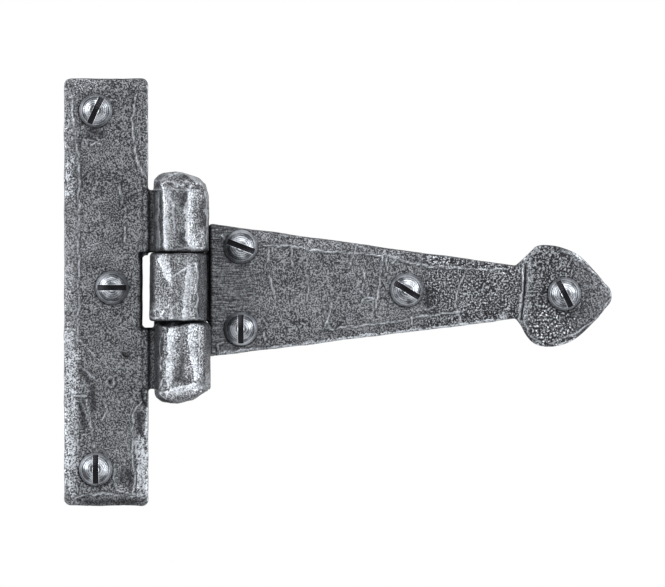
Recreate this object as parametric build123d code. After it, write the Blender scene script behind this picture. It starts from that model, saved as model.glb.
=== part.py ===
from build123d import *
import os
from math import cos, radians, sin, sqrt

# Hand-forged tee hinge with an arrowhead strap, as screwed to a wall or frame.
# X runs along the strap, Z up along the pin and Y into the wall. Both leaves
# lie with their backs in the plane Y = 0, and the pin's axis is at X = 0.

# Stock and pin, in millimetres
leaf_thickness = 3.2
pin_radius = 3.45
pin_clearance = 0.05
seam_gap = 0.3
bore_radius = pin_radius + pin_clearance
barrel_radius = bore_radius + leaf_thickness

# Knuckles along the pin. Each is rolled by hand, so its outside has its own radius
# and stands a little to one side of the bore.
strap_knuckle_length = 16.0
upper_knuckle_length = 14.8
lower_knuckle_length = 16.0
strap_knuckle_centre = 1.2
knuckle_gap = 0.1
strap_barrel = (6.75, -0.45)
upper_barrel = (6.5, 0.25)
lower_barrel = (6.6, 0.6)
strap_end_bevels = (0.4, 0.5)
upper_end_bevels = (0.4, 0.05)
lower_end_bevels = (0.05, 1.1)

strap_knuckle_low = strap_knuckle_centre - strap_knuckle_length / 2
strap_knuckle_top = strap_knuckle_low + strap_knuckle_length
upper_knuckle_low = strap_knuckle_top + knuckle_gap
upper_knuckle_top = upper_knuckle_low + upper_knuckle_length
lower_knuckle_top = strap_knuckle_low - knuckle_gap
lower_knuckle_low = lower_knuckle_top - lower_knuckle_length

# Tee plate
plate_width = 19.8
plate_height = 100.6
plate_edge_gap = 0.9
notch_depth = 1.3
notch_low = strap_knuckle_low - 1.5
notch_top = strap_knuckle_top - 0.6
plate_corner = 1.6
tab_set_down = 0.4
plate_right = -(barrel_radius + plate_edge_gap)
plate_left = plate_right - plate_width
plate_half = plate_height / 2
knuckle_reach = 32.0

# Strap. Its root is tucked a little behind the barrels' outline.
root_tuck = 0.2
root_width = 31.5
root_middle = 0.45
root_corner = 1.0
neck_width = 12.5
neck_from_pin = 78.9
head_length = 22.7
head_width = 24.0
head_middle = -0.95
lobe_from_neck = 7.4
lobe_slope_run = 4.6
lobe_top_round = 0.5
lobe_low_round = 0.7
low_rise_run = 1.2
low_rise_drop = 1.6
head_shoulder_share = 0.45
head_shoulder_drop = 0.085
tip_radius = 3.2
tip_turn = 43
head_set_down = 0.6
set_down_from_neck = 1.9
strap_left = barrel_radius - root_tuck
strap_run = neck_from_pin - strap_left
root_top = root_middle + root_width / 2
root_low = root_middle - root_width / 2
set_down_start = neck_from_pin + set_down_from_neck

# Riveted ends of the pin, hammered to the barrels' own width
rivet_inset = 0.03
upper_rivet_height = 4.35
lower_rivet_height = 3.4
rivet_rim = 0.9
rivet_bevel = 0.05
rivet_crown = 0.35
rivet_shoulder_share = 0.42

# Round-head slotted wood screws
screw_head_radius = 3.95
screw_head_height = 2.9
screw_head_rim = 0.35
screw_slot_width = 1.3
screw_slot_depth = 1.4
screw_shank_radius = 2.09
screw_root_radius = 1.5
screw_length = 25.4
screw_plain_length = 8.6
screw_point_length = 4.0
screw_core_taper = 0.6
screw_hole_clearance = 0.2

# Places of the screws in the leaves
plate_screw_inset = 7.5
plate_screw_from_top = 7.6
plate_screw_from_bottom = 8.6
middle_screw_inset = 8.5
middle_screw_drop = 0.2
root_screw_inset = 7.75
root_screw_from_top = 5.5
root_screw_from_low = 6.6
strap_screw_share = 0.6465
tip_screw_from_neck = 11.5

# Each screw: name, X, Z and the slot's turn from X in degrees, seen from the front
left_column = plate_left + plate_screw_inset
middle_column = plate_right - middle_screw_inset
root_column = strap_left + root_screw_inset
plate_screws = [
    ("plate_screw_top", left_column, plate_half - plate_screw_from_top, 65),
    ("plate_screw_middle", middle_column, strap_knuckle_centre - middle_screw_drop, 0),
    ("plate_screw_bottom", left_column, plate_screw_from_bottom - plate_half, 90),
]
strap_screws = [
    ("strap_screw_upper", root_column, root_top - root_screw_from_top, -21),
    ("strap_screw_lower", root_column, root_low + root_screw_from_low, 90),
    ("strap_screw_middle", strap_left + strap_run * strap_screw_share, root_middle, -31.5),
    ("strap_screw_tip", neck_from_pin + tip_screw_from_neck, head_middle + 0.5, -63.5),
]

# Hammer work: long scoops along the rims, short ones round the arrowhead, and
# shallow dents on the faces
blow_radius = 60.0
blow_width = 2.7
blow_drop = 0.55
blow_spacing = 13.6
head_blow_radius = 24.0
head_blow_width = 1.5
head_blow_drop = 0.45
head_blow_spacing = 7.6
blow_wander = 0.12
dent_radius = 42.0
dent_depth = 0.16
facet_depth = 0.42
hollow_radius = 13.0
hollow_depth = 0.45

# Dents: share of the way across the leaf and share of half its height, or share
# of the way from the strap's root to its neck and Z
plate_dent_shares = [(0.67, 0.62), (0.35, 0.4), (0.32, -0.25), (0.68, -0.48)]
strap_dent_shares = [(0.28, 3.5), (0.4, -5.0), (0.51, 4.0), (0.79, -1.5), (0.9, 1.2)]
plate_dents = [(plate_left + plate_width * x, plate_half * z) for x, z in plate_dent_shares]
strap_dents = [(strap_left + strap_run * x, z) for x, z in strap_dent_shares]
hollow_place = (plate_right - 4.8, 6.9 - plate_half)


# Hand work is uneven: a steady factor between about 0.7 and 1.3 for each blow
def uneven(blow, phase):
    return 1.0 + 0.3 * sin(blow * 2.4 + phase)


# One hammer dent in a front face, as a shallow ball-shaped hollow
def dent(leaf, place, front, radius, depth):
    x, z = place
    return leaf - Pos(x, -front - radius + depth, z) * Sphere(radius)


# Direction away from the leaf, square to its outline
def outward_at(outline, spot):
    step = 0.05
    point = outline.position_at(spot)
    across = outline.tangent_at(spot).cross(Vector(0, 1, 0)).normalized()
    if Face(outline).is_inside(point + across * step):
        return -across
    return across


# One blow on a rim: the ball's centre stands outside the rim, so that it cuts
# drop deep at the rim and runs out width inside it
def rim_blow(leaf, point, outward, front, radius, drop, width):
    outside = (2 * radius * drop - width**2) / (2 * width)
    height = sqrt(radius**2 - outside**2) - drop
    centre = point + outward * outside
    return leaf - Pos(centre.X, -front - height, centre.Z) * Sphere(radius)


# A row of blows along a leaf's outline, which thin its rim into a wavy bevel.
# Blows fall only where struck says so.
def hammer_rim(leaf, outline, front, phase, radius, drop, width, spacing, struck):
    blows = round(outline.length / spacing)
    for blow in range(blows):
        spot = (blow + blow_wander * sin(blow * 1.7 + phase)) / blows
        point = outline.position_at(spot)
        if struck(point.X, point.Z):
            deep = drop * uneven(blow, phase)
            wide = width * uneven(blow, phase + 1.1)
            outward = outward_at(outline, spot)
            leaf = rim_blow(leaf, point, outward, front, radius, deep, wide)
    return leaf


# Flats that the hammer left round a barrel: turn from the front, share of the
# full facet depth, and lean along the pin in degrees
upper_flats = [(-62, 1.0, 1.2), (-12, 1.3, -1.0), (38, 1.1, 0.8), (82, 0.2, -1.0)]
strap_flats = [(-78, 0.2, -1.6), (-34, 1.2, 1.6), (14, 1.1, -1.2), (60, 1.0, 1.0)]
lower_flats = [(-70, 0.9, -1.4), (-22, 1.2, 1.0), (24, 1.2, -0.8), (72, 0.6, 1.3)]


# Slanting blows over a barrel's ends: the end struck, which is 1 for the upper and
# -1 for the lower one, the turn from the front, the slant from the pin, and how far
# down the barrel's side the blow runs, which is below 0 where it stays on the dome
upper_slants = [(1, 86, 18, 1.95), (1, 84, 50, -0.3), (1, 80, 68, -1.45)]
strap_slants = [(-1, 10, 50, 0.5)]
lower_slants = [(-1, 90, 77, -1.45), (-1, 88, 59, 0.25), (1, -28, 52, 1.0)]


# Takes off all that stands further than inside from a barrel's middle, square to
# a direction that is turned from the front and then leans down by lean
def flatten(barrel, inside, turn, lean, block):
    flat = Pos(0, -inside - block / 2, 0) * Box(2 * block, block, 4 * block)
    return barrel - Rot(0, 0, turn) * Rot(lean, 0, 0) * flat


# Flats along a barrel's side and slants over its ends. The barrel's axis is Z, with
# its middle at Z = 0.
def hammer_barrel(barrel, radius, length, flats, slants):
    block = 4 * radius
    for turn, share, lean in flats:
        barrel = flatten(barrel, radius - facet_depth * share, turn, lean, block)
    for end, turn, slant, run in slants:
        upright = (length / 2 - run) * sin(radians(slant))
        inside = radius * cos(radians(slant)) + upright
        barrel = flatten(barrel, inside, turn, -end * slant, block)
    return barrel


# One knuckle, rolled from the leaf's tab round the pin until its end meets the
# leaf's front again. The tab is forged a little thinner than the leaf. side is -1
# where the leaf lies on the left, and 1 on the right.
def rolled_knuckle(side, low, length, reach, barrel, end_bevels, flats, slants):
    radius, shift = barrel
    middle = low + length / 2
    wall = Cylinder(radius, length)
    for end, bevel in enumerate(end_bevels):
        rim = wall.edges().filter_by(GeomType.CIRCLE).sort_by(Axis.Z)[-end]
        wall = chamfer(rim, bevel)
    wall = hammer_barrel(wall, radius, length, flats, slants)
    wall = Pos(shift, -radius, middle) * wall
    tab_thickness = leaf_thickness - tab_set_down
    tab = Pos(side * reach / 2, -tab_thickness / 2, middle) * Box(reach, tab_thickness, length)
    bore = Pos(0, -barrel_radius, middle) * Cylinder(bore_radius, length)
    seam_height = seam_gap + tab_set_down
    seam = Pos(side * barrel_radius, -tab_thickness - seam_height / 2, middle)
    seam *= Box(2 * barrel_radius, seam_height, length)
    return wall + tab - bore - seam


# Clearance hole for a screw through a leaf
def screw_hole(leaf, x, z):
    radius = screw_shank_radius + screw_hole_clearance
    drill = Rot(90, 0, 0) * Cylinder(radius, 4 * leaf_thickness)
    return leaf - Pos(x, 0, z) * drill


# Tee plate: a tall flat bar, notched where the strap's knuckle turns, with a
# rolled knuckle above the notch and one below it
def make_tee_plate():
    corners = [
        (plate_left, -plate_half),
        (plate_right, -plate_half),
        (plate_right, plate_half),
        (plate_left, plate_half),
    ]
    outline = Plane.XZ * Polyline(*corners, close=True)
    face = make_face(outline)
    face = fillet(face.vertices(), plate_corner)
    rim = face.faces()[0].outer_wire()
    plate = extrude(face, amount=leaf_thickness, dir=(0, -1, 0))

    def clear_of_knuckles(x, z):
        beside = x > plate_right - plate_corner
        return not beside or abs(z - strap_knuckle_centre) > knuckle_reach

    plate = hammer_rim(
        plate, rim, leaf_thickness, 0.4,
        blow_radius, blow_drop, blow_width, blow_spacing, clear_of_knuckles,
    )
    for place in plate_dents:
        plate = dent(plate, place, leaf_thickness, dent_radius, dent_depth)
    plate = dent(plate, hollow_place, leaf_thickness, hollow_radius, hollow_depth)

    reach = -plate_right + notch_depth
    plate += rolled_knuckle(
        -1, upper_knuckle_low, upper_knuckle_length, reach,
        upper_barrel, upper_end_bevels, upper_flats, upper_slants,
    )
    plate += rolled_knuckle(
        -1, lower_knuckle_low, lower_knuckle_length, reach,
        lower_barrel, lower_end_bevels, lower_flats, lower_slants,
    )
    notch_height = notch_top - notch_low
    notch_middle = (notch_top + notch_low) / 2
    notch = Box(2 * notch_depth, 4 * leaf_thickness, notch_height)
    plate -= Pos(plate_right, 0, notch_middle) * notch
    for name, x, z, turn in plate_screws:
        plate = screw_hole(plate, x, z)
    return plate


# Outline of the strap: a long taper from the root to the neck, then the arrowhead
# with two swept lobes and a blunt tip
def strap_outline():
    tip_x = neck_from_pin + head_length
    lobe_x = neck_from_pin + lobe_from_neck
    slope_x = neck_from_pin + lobe_slope_run
    lobe_top = head_middle + head_width / 2
    lobe_low = head_middle - head_width / 2
    tip_side = tip_radius * sin(radians(tip_turn))
    tip_start = tip_x - tip_radius * (1 - cos(radians(tip_turn)))
    tip_top = head_middle + tip_side
    tip_low = head_middle - tip_side
    tip_slope = cos(radians(tip_turn)) / sin(radians(tip_turn))
    past_lobe = (tip_x - lobe_x) * head_shoulder_share
    shoulder = head_width * head_shoulder_drop
    neck = neck_width / 2
    low_rise_end = (neck_from_pin + low_rise_run, -neck - low_rise_drop)
    root = Line((strap_left, root_low), (strap_left, root_top))
    top_edge = Line((strap_left, root_top), (neck_from_pin, neck))
    top_rise = Line((neck_from_pin, neck), (slope_x, lobe_top - lobe_top_round))
    top_lobe = Spline(
        (slope_x, lobe_top - lobe_top_round),
        (lobe_x, lobe_top),
        (lobe_x + past_lobe, lobe_top - shoulder),
        (tip_start, tip_top),
        tangents=[(1.0, 0.55), (1.0, -tip_slope)],
    )
    tip = ThreePointArc((tip_start, tip_top), (tip_x, head_middle), (tip_start, tip_low))
    low_lobe = Spline(
        (tip_start, tip_low),
        (lobe_x + past_lobe, lobe_low + shoulder),
        (lobe_x, lobe_low),
        (slope_x, lobe_low + lobe_low_round),
        low_rise_end,
        tangents=[(-1.0, -tip_slope), (-0.45, 1.0)],
    )
    low_rise = Line(low_rise_end, (neck_from_pin, -neck))
    low_edge = Line((neck_from_pin, -neck), (strap_left, root_low))
    return [root, top_edge, top_rise, top_lobe, tip, low_lobe, low_rise, low_edge]


# Strap: one rolled knuckle in the notch, the tapered bar, and an arrowhead whose
# face is hammered down a little behind a sharp line across the neck
def make_strap():
    face = Plane.XZ * make_face(strap_outline())
    root_corners = face.vertices().group_by(Axis.X)[0]
    face = fillet(root_corners, root_corner)
    rim = face.faces()[0].outer_wire()
    head_front = leaf_thickness - head_set_down
    beyond = Pos(set_down_start + head_length, 0, 0)
    beyond *= Box(2 * head_length, 4 * leaf_thickness, 2 * head_width)
    bar = extrude(face, amount=leaf_thickness, dir=(0, -1, 0)) - beyond
    head = extrude(face, amount=head_front, dir=(0, -1, 0)) & beyond

    def on_bar(x, z):
        return strap_left + root_corner < x < neck_from_pin

    def on_head(x, z):
        return x > set_down_start

    bar = hammer_rim(
        bar, rim, leaf_thickness, 1.9,
        blow_radius, blow_drop, blow_width, blow_spacing, on_bar,
    )
    for place in strap_dents:
        bar = dent(bar, place, leaf_thickness, dent_radius, dent_depth)
    head = hammer_rim(
        head, rim, head_front, 0.7,
        head_blow_radius, head_blow_drop, head_blow_width, head_blow_spacing, on_head,
    )
    reach = strap_left + root_corner
    strap = bar + head
    strap += rolled_knuckle(
        1, strap_knuckle_low, strap_knuckle_length, reach,
        strap_barrel, strap_end_bevels, strap_flats, strap_slants,
    )
    for name, x, z, turn in strap_screws:
        strap = screw_hole(strap, x, z)
    return strap


# Half section of a riveted end, standing on Z = 0: an upright rim, a round shoulder
# and a low crown
def rivet_profile(radius, height):
    shoulder = radius * rivet_shoulder_share
    shoulder_up = height - rivet_crown - rivet_rim
    halfway = (
        radius - shoulder * (1 - sqrt(0.5)),
        rivet_rim + shoulder_up * sqrt(0.5),
    )
    under = (radius - rivet_bevel, 0)
    low_rim = (radius, rivet_bevel)
    top_rim = (radius, rivet_rim)
    crown_edge = (radius - shoulder, height - rivet_crown)
    crown = (0, height)
    return [
        Line((0, 0), under),
        Line(under, low_rim),
        Line(low_rim, top_rim),
        ThreePointArc(top_rim, halfway, crown_edge),
        Line(crown_edge, crown),
        Line(crown, (0, 0)),
    ]


# Flats on the pin's ends: turn about the pin, lean from the crown, and depth
top_rivet_flats = [
    (0, 9, 0.35),
    (-100, 42, 0.55),
    (-50, 50, 0.5),
    (-150, 48, 0.5),
    (10, 52, 0.45),
    (75, 45, 0.5),
    (135, 50, 0.5),
]
low_rivet_flats = [
    (0, 14, 0.6),
    (-80, 40, 0.6),
    (-135, 52, 0.5),
    (-30, 46, 0.5),
    (175, 38, 0.5),
    (45, 48, 0.5),
    (110, 46, 0.5),
]


# A riveted end of the given height on the knuckle that runs from low for length.
# It is hammered flat here and there, and with the same blows as the knuckle.
# facing is 1 for the upper end.
def rivet(barrel, low, length, height, facing, flats, side_flats, slants):
    radius = barrel[0] - rivet_inset
    head = revolve(Plane.XZ * make_face(rivet_profile(radius, height)), Axis.Z)
    block = 4 * radius
    shoulder = radius * rivet_shoulder_share
    for turn, lean, depth in flats:
        on_shoulder = (radius - shoulder) * sin(radians(lean)) + shoulder
        on_crown = (height - rivet_rim) * cos(radians(lean))
        reach = max(on_shoulder, on_crown) - depth
        flat = Pos(0, 0, reach + block / 2) * Box(block, block, block)
        head -= Pos(0, 0, rivet_rim) * Rot(0, 0, turn) * Rot(0, lean, 0) * flat
    if facing < 0:
        head = mirror(head, Plane.XY)
    head = Pos(0, 0, facing * length / 2) * head
    head = hammer_barrel(head, barrel[0], length, side_flats, slants)
    return Pos(barrel[1], -barrel[0], low + length / 2) * head


# Hinge pin: a round bar with both ends hammered over on the knuckles
def make_hinge_pin():
    length = upper_knuckle_top - lower_knuckle_low
    middle = (upper_knuckle_top + lower_knuckle_low) / 2
    pin = Pos(0, -barrel_radius, middle) * Cylinder(pin_radius, length)
    pin += rivet(
        upper_barrel, upper_knuckle_low, upper_knuckle_length, upper_rivet_height, 1,
        top_rivet_flats, upper_flats, upper_slants,
    )
    pin += rivet(
        lower_barrel, lower_knuckle_low, lower_knuckle_length, lower_rivet_height, -1,
        low_rivet_flats, lower_flats, lower_slants,
    )
    return pin


# A wood screw: domed head with a slot, plain shank, the core of its thread and a
# gimlet point. Its head stands on Y = 0 and faces the front.
def wood_screw():
    crown = screw_head_height - screw_head_rim
    crown_middle = (screw_head_radius * 0.74, screw_head_rim + crown * 0.69)
    plain_end = -screw_plain_length
    core_start = plain_end - screw_core_taper
    core_end = screw_point_length - screw_length
    outline = [
        (0, screw_head_height),
        (0, -screw_length),
        (screw_root_radius, core_end),
        (screw_root_radius, core_start),
        (screw_shank_radius, plain_end),
        (screw_shank_radius, 0),
        (screw_head_radius, 0),
        (screw_head_radius, screw_head_rim),
    ]
    dome = ThreePointArc(outline[-1], crown_middle, outline[0])
    profile = [Polyline(*outline), dome]
    screw = revolve(Plane.XZ * make_face(profile), Axis.Z)
    slot = Box(3 * screw_head_radius, screw_slot_width, 2 * screw_slot_depth)
    screw -= Pos(0, 0, screw_head_height) * slot
    return Rot(90, 0, 0) * screw


# Screws stand on their leaf's front, each with its slot turned as it was driven
def place_screws(screws):
    for name, x, z, turn in screws:
        front = leaf_thickness
        if x > set_down_start:
            front -= head_set_down
        screw = Pos(x, -front, z) * Rot(0, -turn, 0) * wood_screw()
        export_step(screw, "parts/" + name + ".step")


os.makedirs("parts", exist_ok=True)
export_step(make_tee_plate(), "parts/tee_plate.step")
export_step(make_strap(), "parts/strap.step")
export_step(make_hinge_pin(), "parts/hinge_pin.step")
place_screws(plate_screws)
place_screws(strap_screws)
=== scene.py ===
import math

import bmesh
import bpy
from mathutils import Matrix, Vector


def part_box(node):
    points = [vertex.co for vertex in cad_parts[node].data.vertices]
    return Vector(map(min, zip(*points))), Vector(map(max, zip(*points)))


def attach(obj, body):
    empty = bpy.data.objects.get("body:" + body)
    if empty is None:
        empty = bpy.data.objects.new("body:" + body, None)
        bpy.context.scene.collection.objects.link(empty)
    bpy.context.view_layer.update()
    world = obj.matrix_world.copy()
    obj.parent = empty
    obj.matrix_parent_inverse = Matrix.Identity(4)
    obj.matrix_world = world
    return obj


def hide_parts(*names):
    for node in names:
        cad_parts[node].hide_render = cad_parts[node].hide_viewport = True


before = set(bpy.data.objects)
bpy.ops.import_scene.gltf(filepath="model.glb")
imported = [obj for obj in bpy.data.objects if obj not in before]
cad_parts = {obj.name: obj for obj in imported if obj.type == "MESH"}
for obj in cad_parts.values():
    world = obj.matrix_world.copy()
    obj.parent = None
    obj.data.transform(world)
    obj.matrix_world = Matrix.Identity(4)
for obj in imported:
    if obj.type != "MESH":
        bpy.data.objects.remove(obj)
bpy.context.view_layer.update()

scene = bpy.context.scene
mm = 0.001


# Tee plate: the tall leaf that is screwed to the frame or post. It is forged from
# 3.2 mm bar, hammered all over, and its two knuckles are rolled round the pin. A
# dark pewter-like finish lies in its pits and is rubbed bright on every ridge, and
# highlights and shade are painted on it.
def set_sockets(tree, node, values):
    for socket, value in values.items():
        if isinstance(value, bpy.types.NodeSocket):
            tree.links.new(value, node.inputs[socket])
        else:
            node.inputs[socket].default_value = value


def add_node(tree, kind, inputs=None, **settings):
    made = tree.nodes.new(kind)
    for name, value in settings.items():
        setattr(made, name, value)
    set_sockets(tree, made, inputs or {})
    return made


def maths(tree, operation, *values, clamp=False):
    kind = "ShaderNodeMath"
    settings = {"operation": operation, "use_clamp": clamp}
    return add_node(tree, kind, dict(enumerate(values)), **settings).outputs[0]


def highest(tree, first, *others):
    for other in others:
        first = maths(tree, "MAXIMUM", first, other)
    return first


def vector_maths(tree, operation, *values):
    inputs = dict(enumerate(values))
    if operation == "SCALE":
        inputs["Scale"] = inputs.pop(1)
    made = add_node(tree, "ShaderNodeVectorMath", inputs, operation=operation)
    single = operation in ("LENGTH", "DOT_PRODUCT", "DISTANCE")
    return made.outputs["Value" if single else "Vector"]


# A smooth step from to_low, where the value is low, to to_high, where it is high
def ramp_between(tree, value, low, high, to_low=0.0, to_high=1.0):
    inputs = dict(enumerate((value, low, high, to_low, to_high)))
    kind = "ShaderNodeMapRange"
    return add_node(tree, kind, inputs, interpolation_type="SMOOTHSTEP").outputs[0]


def axes_of(tree, vector):
    return add_node(tree, "ShaderNodeSeparateXYZ", {0: vector}).outputs


def combined(tree, x, y, z):
    return add_node(tree, "ShaderNodeCombineXYZ", {0: x, 1: y, 2: z}).outputs[0]


def mix_numbers(tree, share, under, over):
    inputs = {0: share, 2: under, 3: over}
    return add_node(tree, "ShaderNodeMix", inputs, data_type="FLOAT").outputs[0]


def mix_colours(tree, share, under, over):
    inputs = {0: share, 6: under, 7: over}
    return add_node(tree, "ShaderNodeMix", inputs, data_type="RGBA").outputs[2]


def colour_ramp(tree, tone, stops):
    ramp = add_node(tree, "ShaderNodeValToRGB", {"Fac": tone})
    while len(ramp.color_ramp.elements) < len(stops):
        ramp.color_ramp.elements.new(0.5)
    for element, (position, colour) in zip(ramp.color_ramp.elements, stops):
        element.position = position
        element.color = (*colour, 1.0)
    return ramp.outputs["Color"]


def new_material(name):
    made = bpy.data.materials.new(name)
    made.use_nodes = True
    return made, made.node_tree, made.node_tree.nodes["Principled BSDF"]


def add_object(name, data):
    made = bpy.data.objects.new(name, data)
    scene.collection.objects.link(made)
    return made


# The mesh that an object's modifiers make of it
def finished_mesh(rough):
    bpy.context.view_layer.update()
    ready = rough.evaluated_get(bpy.context.evaluated_depsgraph_get())
    done = bpy.data.meshes.new_from_object(ready)
    rough.modifiers.clear()
    return done


def set_inputs(modifier, values):
    for item in modifier.node_group.interface.items_tree:
        if item.item_type == "SOCKET" and item.name in values:
            modifier[item.identifier] = values[item.name]


def new_tree(name, sockets):
    tree = bpy.data.node_groups.new(name, "GeometryNodeTree")
    kind = "NodeSocketGeometry"
    tree.interface.new_socket(name="Geometry", in_out="INPUT", socket_type=kind)
    tree.interface.new_socket(name="Geometry", in_out="OUTPUT", socket_type=kind)
    for socket, kind, value in sockets:
        made = tree.interface.new_socket(
            name=socket, in_out="INPUT", socket_type="NodeSocket" + kind
        )
        if value is not None:
            made.default_value = value
    return tree, tree.nodes.new("NodeGroupInput").outputs


def store(tree, geometry, name, value, data_type="FLOAT"):
    kind = "GeometryNodeStoreNamedAttribute"
    inputs = {"Geometry": geometry, "Name": name, "Value": value}
    settings = {"data_type": data_type, "domain": "POINT"}
    return add_node(tree, kind, inputs, **settings).outputs[0]


# Ends a tree with one plain mesh of one material
def hand_out(tree, geometry, steel):
    whole = add_node(tree, "GeometryNodeRealizeInstances", {"Geometry": geometry})
    inputs = {"Geometry": whole.outputs[0], "Material": steel}
    painted = add_node(tree, "GeometryNodeSetMaterial", inputs)
    end = tree.nodes.new("NodeGroupOutput")
    tree.links.new(painted.outputs[0], end.inputs[0])


# A rubbed mark's painted highlight fades away from this strength
fade_strength = 0.82
# The painted shade beside a ridge is this many times as wide as the ridge
ridge_shade_to_ridge = 3.2


# Hollow blows meeting in low ridges, pits, and marks seen from the front. All
# depths and widths are in mm. The bore, the back, the leaf up to Hold Up To X and,
# where Hold Ends is 1, the knuckles' ends aren't hammered. End Stretch lengthens
# those ends, and Base Stretch pushes the domes' undersides into the knuckles.
def hammer_tree():
    tree, given = new_tree(
        "hammered surface",
        [
            ("Seed", "Float", 0.0),
            ("Blow Size", "Float", 7.0),
            ("Blow Depth", "Float", 0.3),
            ("Pit Size", "Float", 1.2),
            ("Pit Depth", "Float", 0.1),
            ("Axis Y", "Float", -6.7),
            ("Bore Radius", "Float", 3.5),
            ("Hold Ends", "Float", 1.0),
            ("Hold Up To X", "Float", -100.0),
            ("End Stretch", "Float", 0.05),
            ("Base Stretch", "Float", 0.0),
            ("Ridge Marks", "Object", None),
            ("Ridge Width", "Float", 0.31),
            ("Ridge Height", "Float", 0.08),
            ("Cut Marks", "Object", None),
            ("Cut Width", "Float", 0.42),
            ("Cut Depth", "Float", 0.14),
            ("Rubbed Marks", "Object", None),
            ("Rubbed Width", "Float", 0.5),
            ("Rubbed Fade", "Float", 4.0),
            ("Grime Marks", "Object", None),
            ("Grime Width", "Float", 1.4),
            ("Gap Marks", "Object", None),
            ("Gap Width", "Float", 0.6),
            ("Steel", "Material", None),
        ],
    )
    place = add_node(tree, "GeometryNodeInputPosition").outputs[0]
    normal = add_node(tree, "GeometryNodeInputNormal").outputs[0]
    spot = vector_maths(tree, "SCALE", place, 1000.0)
    at = axes_of(tree, spot)
    facing = axes_of(tree, normal)
    seed = vector_maths(tree, "SCALE", (17.3, 5.1, 11.7), given["Seed"])
    shifted = vector_maths(tree, "ADD", spot, seed)

    def noise(scale):
        inputs = {"Vector": shifted, "Scale": scale, "Detail": 2.0}
        return add_node(tree, "ShaderNodeTexNoise", inputs).outputs["Color"]

    def cells(where, size):
        inputs = {"Vector": where, "Scale": maths(tree, "DIVIDE", 1.0, size)}
        return add_node(tree, "ShaderNodeTexVoronoi", inputs).outputs["Distance"]

    wander = vector_maths(tree, "SCALE", noise(0.2), 6.0)
    struck = vector_maths(tree, "ADD", shifted, wander)
    bowl = maths(tree, "POWER", cells(struck, given["Blow Size"]), 2.0)
    bowl = maths(tree, "SUBTRACT", 0.8, bowl, clamp=True)
    bowl = maths(tree, "SUBTRACT", bowl, 0.5)
    pit = ramp_between(tree, cells(shifted, given["Pit Size"]), 0.12, 0.42, 1.0, 0.0)
    depth = maths(tree, "MULTIPLY", bowl, given["Blow Depth"])
    depth = maths(tree, "MULTIPLY_ADD", pit, given["Pit Depth"], depth)

    # All marks but the gaps wander a little. The rubbed marks, partly worn and partly
    # painted highlights, fade away to their right, and a ridge has a border of painted
    # shade on both sides.
    front = ramp_between(tree, facing[1], -0.12, 0.15, 1.0, 0.0)
    shake = vector_maths(tree, "SUBTRACT", noise(0.45), (0.5, 0.5, 0.5))
    shaken = vector_maths(tree, "ADD", spot, vector_maths(tree, "SCALE", shake, 1.6))
    seen = vector_maths(tree, "MULTIPLY", shaken, (mm, 0.0, mm))
    steady = vector_maths(tree, "MULTIPLY", spot, (mm, 0.0, mm))
    marks = {}
    for name in ("Ridge", "Cut", "Rubbed", "Grime", "Gap"):
        lines = add_node(
            tree, "GeometryNodeObjectInfo", {"Object": given[name + " Marks"]}
        )
        sampled = steady if name == "Gap" else seen
        near = add_node(
            tree,
            "GeometryNodeProximity",
            {0: lines.outputs["Geometry"], "Sample Position": sampled},
            target_element="EDGES",
        )
        missing = maths(tree, "SUBTRACT", 1.0, near.outputs["Is Valid"])
        away = maths(tree, "ADD", near.outputs["Distance"], missing)
        away = maths(tree, "MULTIPLY", away, 1000.0)
        mark = ramp_between(tree, away, 0.0, given[name + " Width"], 1.0, 0.0)
        # Rubbed marks, partly worn and partly painted highlights, fade away to their
        # right
        if name == "Rubbed":
            aside = vector_maths(tree, "SUBTRACT", seen, near.outputs["Position"])
            right = maths(tree, "GREATER_THAN", axes_of(tree, aside)[0], 0.0)
            fade_end = given["Rubbed Fade"]
            fade = ramp_between(tree, away, 0.0, fade_end, fade_strength, 0.0)
            mark = highest(tree, mark, maths(tree, "MULTIPLY", fade, right))
        # Shade is painted on both sides of a ridge
        if name == "Ridge":
            width = given["Ridge Width"]
            ridge_shade_width = maths(tree, "MULTIPLY", width, ridge_shade_to_ridge)
            border = ramp_between(tree, away, 0.0, ridge_shade_width, 1.0, 0.0)
            border = maths(tree, "SUBTRACT", border, mark, clamp=True)
            marks["Border"] = maths(tree, "MULTIPLY", border, front)
        marks[name] = maths(tree, "MULTIPLY", mark, front)
    raised = maths(tree, "MULTIPLY", marks["Ridge"], given["Ridge Height"])
    depth = maths(tree, "SUBTRACT", depth, raised)
    depth = maths(tree, "MULTIPLY_ADD", marks["Cut"], given["Cut Depth"], depth)

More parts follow.
